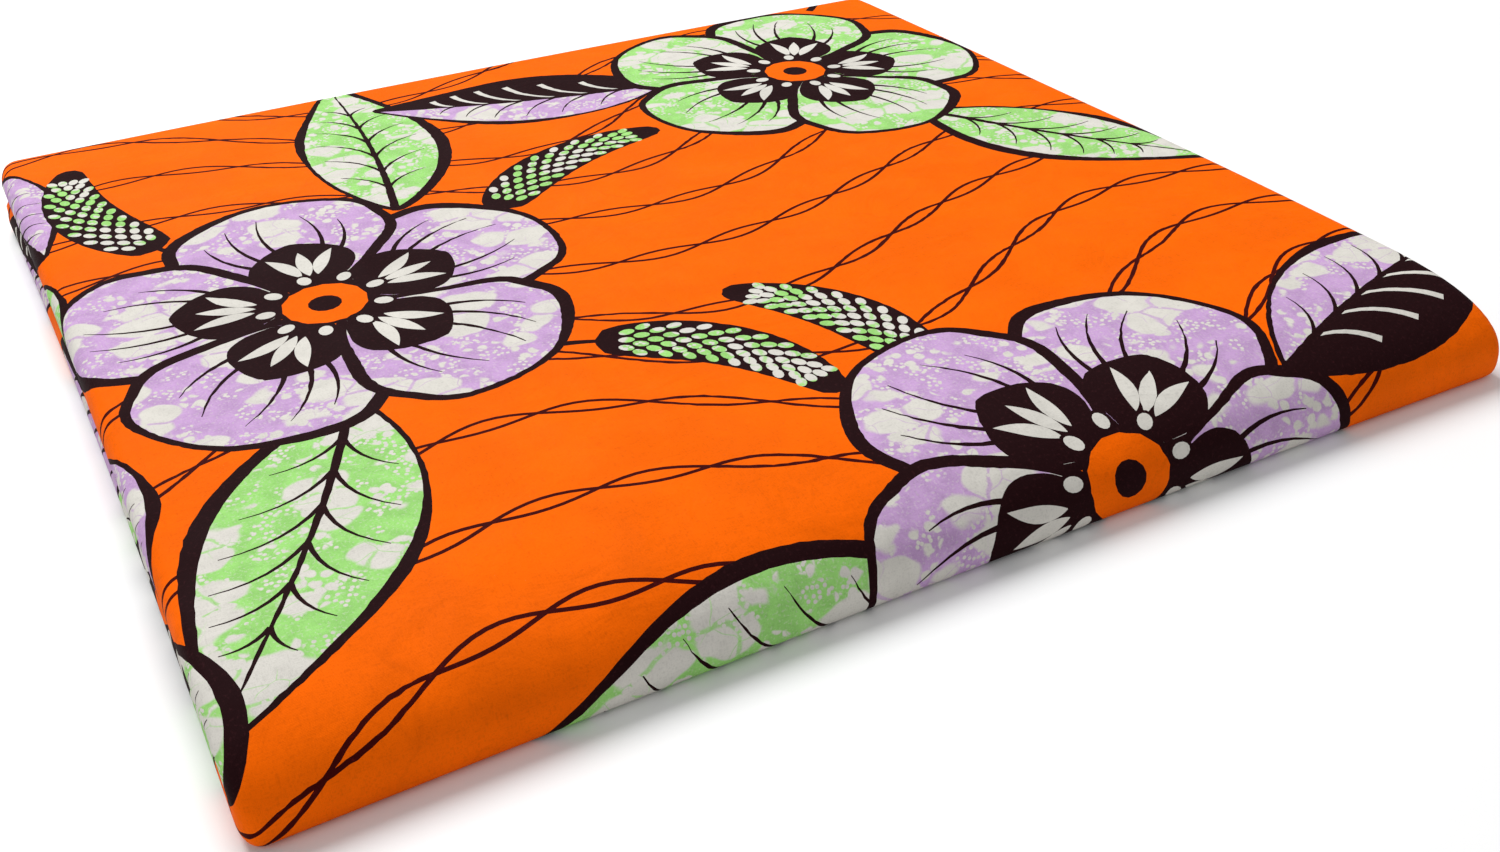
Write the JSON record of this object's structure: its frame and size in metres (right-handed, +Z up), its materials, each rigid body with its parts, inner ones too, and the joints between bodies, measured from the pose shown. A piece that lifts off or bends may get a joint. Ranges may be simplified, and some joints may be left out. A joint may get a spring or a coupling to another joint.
{
  "type": "folded ankara fabric",
  "caption": "Length of wax print cotton cloth folded into a flat pack, with a round fold along its front and layered edges behind, for sewing or display.",
  "frame": {"origin": "under the middle of the pack, on the surface that it lies on", "axes": "+X along the round front fold, -Y towards the front fold, +Z up"},
  "size_m": [0.3768, 0.3564, 0.0244],
  "materials": {
    "printed_cotton": "wax print on plain weave cotton, orange ground, matt",
    "cotton_layers": "edges of the same printed cotton, layered"
  },
  "bodies": {
    "root": {"outer_turn": "printed_cotton", "hidden_layers": "cotton_layers"}
  },
  "joints": []
}
